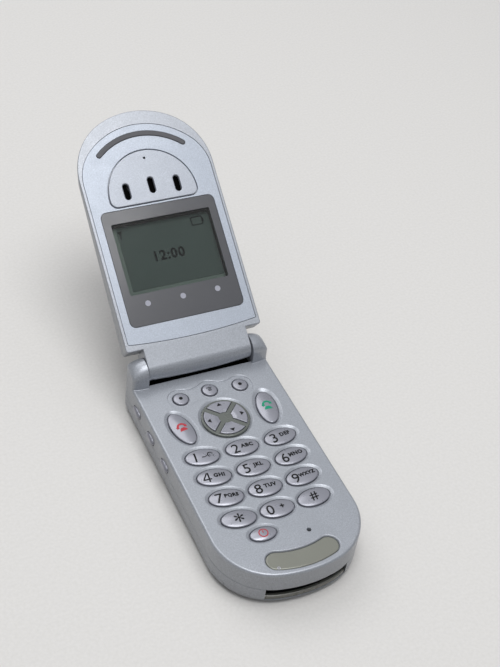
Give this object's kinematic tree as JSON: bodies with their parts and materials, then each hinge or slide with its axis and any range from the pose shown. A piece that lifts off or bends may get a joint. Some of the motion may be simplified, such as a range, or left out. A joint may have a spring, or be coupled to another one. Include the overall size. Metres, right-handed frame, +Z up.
{
  "type": "flip phone",
  "caption": "Small silver flip phone: keypad half with a round tip, lid with display and earpiece on a barrel hinge.",
  "frame": {"origin": "centre of the flat back that the keypad half rests on", "axes": "+Z up out of the keypad face, +Y from the round tip to the hinge, +X to the right as a user reads the keys"},
  "size_m": [0.0438, 0.1427, 0.0626],
  "materials": {
    "housing_silver": "metallic silver paint, satin",
    "key_silver": "satin silver lacquer",
    "panel_silver": "pale metallic silver paint",
    "olive_plastic": "olive grey, semi-gloss",
    "window_mask": "clear window with a grey printed mask",
    "display_glass": "grey-green liquid crystal glass",
    "bumper_rubber": "dark grey soft strip",
    "black_plastic": "black moulded plastic",
    "battery_case": "flat cell in a dark sleeve",
    "contact_brass": "gold-plated contacts",
    "plated_steel": "bright plated steel",
    "board_green": "green solder mask",
    "clear_sheet": "thin film with metal domes",
    "mat_rubber": "translucent grey silicone",
    "flex_film": "amber film"
  },
  "bodies": {
    "base": {"base_front_housing": "housing_silver", "base_rear_housing": "housing_silver", "battery_pack": "battery_case", "battery_contacts": "contact_brass", "main_board": "board_green", "shield_can": "plated_steel", "dome_sheet": "clear_sheet", "keypad_mat": "mat_rubber", "microphone": "plated_steel", "accessory_connector": "black_plastic", "sim_holder": "plated_steel", "vibration_motor": "plated_steel", "internal_antenna": "contact_brass", "nameplate": "olive_plastic", "nav_frame": "olive_plastic", "screw_left": "plated_steel", "screw_right": "plated_steel", "hinge_cam_shaft": "plated_steel", "hinge_pivot_pin": "plated_steel"},
    "lid": {"lid_inner_housing": "housing_silver", "lid_outer_housing": "housing_silver", "lid_inner_panel": "panel_silver", "display_window": "window_mask", "display_module": "display_glass", "lid_board": "board_green", "earpiece_grille": "panel_silver", "earpiece_speaker": "black_plastic", "bumper_strip": "bumper_rubber", "hinge_module": "plated_steel", "hinge_spring": "plated_steel", "flex_cable": "flex_film"},
    "door": {"battery_door": "housing_silver"},
    "key_1": {"key_1": "key_silver"},
    "key_2": {"key_2": "key_silver"},
    "key_3": {"key_3": "key_silver"},
    "key_4": {"key_4": "key_silver"},
    "key_5": {"key_5": "key_silver"},
    "key_6": {"key_6": "key_silver"},
    "key_7": {"key_7": "key_silver"},
    "key_8": {"key_8": "key_silver"},
    "key_9": {"key_9": "key_silver"},
    "key_star": {"key_star": "key_silver"},
    "key_0": {"key_0": "key_silver"},
    "key_hash": {"key_hash": "key_silver"},
    "key_end": {"key_end": "key_silver"},
    "key_send": {"key_send": "key_silver"},
    "key_soft_left": {"key_soft_left": "key_silver"},
    "key_menu": {"key_menu": "key_silver"},
    "key_soft_right": {"key_soft_right": "key_silver"},
    "key_nav_right": {"key_nav_right": "key_silver"},
    "key_nav_up": {"key_nav_up": "key_silver"},
    "key_nav_left": {"key_nav_left": "key_silver"},
    "key_nav_down": {"key_nav_down": "key_silver"},
    "key_power": {"key_power": "key_silver"},
    "side_key_up": {"side_key_up": "key_silver"},
    "side_key_down": {"side_key_down": "key_silver"},
    "side_key_voice": {"side_key_voice": "key_silver"}
  },
  "joints": [
    {"name": "lid_flip", "type": "hinge", "parent": "base", "child": "lid", "pos_m": [0, 0.0371, 0.01627], "axis": [1, 0, 0], "range_deg": [0, 145.4]},
    {"name": "battery_door_slide", "type": "slide", "parent": "base", "child": "door", "axis": [0, 1, 0], "range_m": [0, 0.004]},
    {"name": "key_1_press", "type": "slide", "parent": "base", "child": "key_1", "axis": [0, 0, -1], "range_m": [0, 0.0004], "stiffness_N_per_m": 2500},
    {"name": "key_2_press", "type": "slide", "parent": "base", "child": "key_2", "axis": [0, 0, -1], "range_m": [0, 0.0004], "stiffness_N_per_m": 2500},
    {"name": "key_3_press", "type": "slide", "parent": "base", "child": "key_3", "axis": [0, 0, -1], "range_m": [0, 0.0004], "stiffness_N_per_m": 2500},
    {"name": "key_4_press", "type": "slide", "parent": "base", "child": "key_4", "axis": [0, 0, -1], "range_m": [0, 0.0004], "stiffness_N_per_m": 2500},
    {"name": "key_5_press", "type": "slide", "parent": "base", "child": "key_5", "axis": [0, 0, -1], "range_m": [0, 0.0004], "stiffness_N_per_m": 2500},
    {"name": "key_6_press", "type": "slide", "parent": "base", "child": "key_6", "axis": [0, 0, -1], "range_m": [0, 0.0004], "stiffness_N_per_m": 2500},
    {"name": "key_7_press", "type": "slide", "parent": "base", "child": "key_7", "axis": [0, 0, -1], "range_m": [0, 0.0004], "stiffness_N_per_m": 2500},
    {"name": "key_8_press", "type": "slide", "parent": "base", "child": "key_8", "axis": [0, 0, -1], "range_m": [0, 0.0004], "stiffness_N_per_m": 2500},
    {"name": "key_9_press", "type": "slide", "parent": "base", "child": "key_9", "axis": [0, 0, -1], "range_m": [0, 0.0004], "stiffness_N_per_m": 2500},
    {"name": "key_star_press", "type": "slide", "parent": "base", "child": "key_star", "axis": [0, 0, -1], "range_m": [0, 0.0004], "stiffness_N_per_m": 2500},
    {"name": "key_0_press", "type": "slide", "parent": "base", "child": "key_0", "axis": [0, 0, -1], "range_m": [0, 0.0004], "stiffness_N_per_m": 2500},
    {"name": "key_hash_press", "type": "slide", "parent": "base", "child": "key_hash", "axis": [0, 0, -1], "range_m": [0, 0.0004], "stiffness_N_per_m": 2500},
    {"name": "key_end_press", "type": "slide", "parent": "base", "child": "key_end", "axis": [0, 0, -1], "range_m": [0, 0.0004], "stiffness_N_per_m": 2500},
    {"name": "key_send_press", "type": "slide", "parent": "base", "child": "key_send", "axis": [0, 0, -1], "range_m": [0, 0.0004], "stiffness_N_per_m": 2500},
    {"name": "key_soft_left_press", "type": "slide", "parent": "base", "child": "key_soft_left", "axis": [0, 0, -1], "range_m": [0, 0.0004], "stiffness_N_per_m": 2500},
    {"name": "key_menu_press", "type": "slide", "parent": "base", "child": "key_menu", "axis": [0, 0, -1], "range_m": [0, 0.0004], "stiffness_N_per_m": 2500},
    {"name": "key_soft_right_press", "type": "slide", "parent": "base", "child": "key_soft_right", "axis": [0, 0, -1], "range_m": [0, 0.0004], "stiffness_N_per_m": 2500},
    {"name": "key_nav_right_press", "type": "slide", "parent": "base", "child": "key_nav_right", "axis": [0, 0, -1], "range_m": [0, 0.0004], "stiffness_N_per_m": 2500},
    {"name": "key_nav_up_press", "type": "slide", "parent": "base", "child": "key_nav_up", "axis": [0, 0, -1], "range_m": [0, 0.0004], "stiffness_N_per_m": 2500},
    {"name": "key_nav_left_press", "type": "slide", "parent": "base", "child": "key_nav_left", "axis": [0, 0, -1], "range_m": [0, 0.0004], "stiffness_N_per_m": 2500},
    {"name": "key_nav_down_press", "type": "slide", "parent": "base", "child": "key_nav_down", "axis": [0, 0, -1], "range_m": [0, 0.0004], "stiffness_N_per_m": 2500},
    {"name": "key_power_press", "type": "slide", "parent": "base", "child": "key_power", "axis": [0, 0, -1], "range_m": [0, 0.0004], "stiffness_N_per_m": 2500},
    {"name": "side_key_up_press", "type": "slide", "parent": "base", "child": "side_key_up", "axis": [1, 0, 0], "range_m": [0, 0.0004], "stiffness_N_per_m": 2500},
    {"name": "side_key_down_press", "type": "slide", "parent": "base", "child": "side_key_down", "axis": [1, 0, 0], "range_m": [0, 0.0004], "stiffness_N_per_m": 2500},
    {"name": "side_key_voice_press", "type": "slide", "parent": "base", "child": "side_key_voice", "axis": [1, 0, 0], "range_m": [0, 0.0004], "stiffness_N_per_m": 2500}
  ]
}
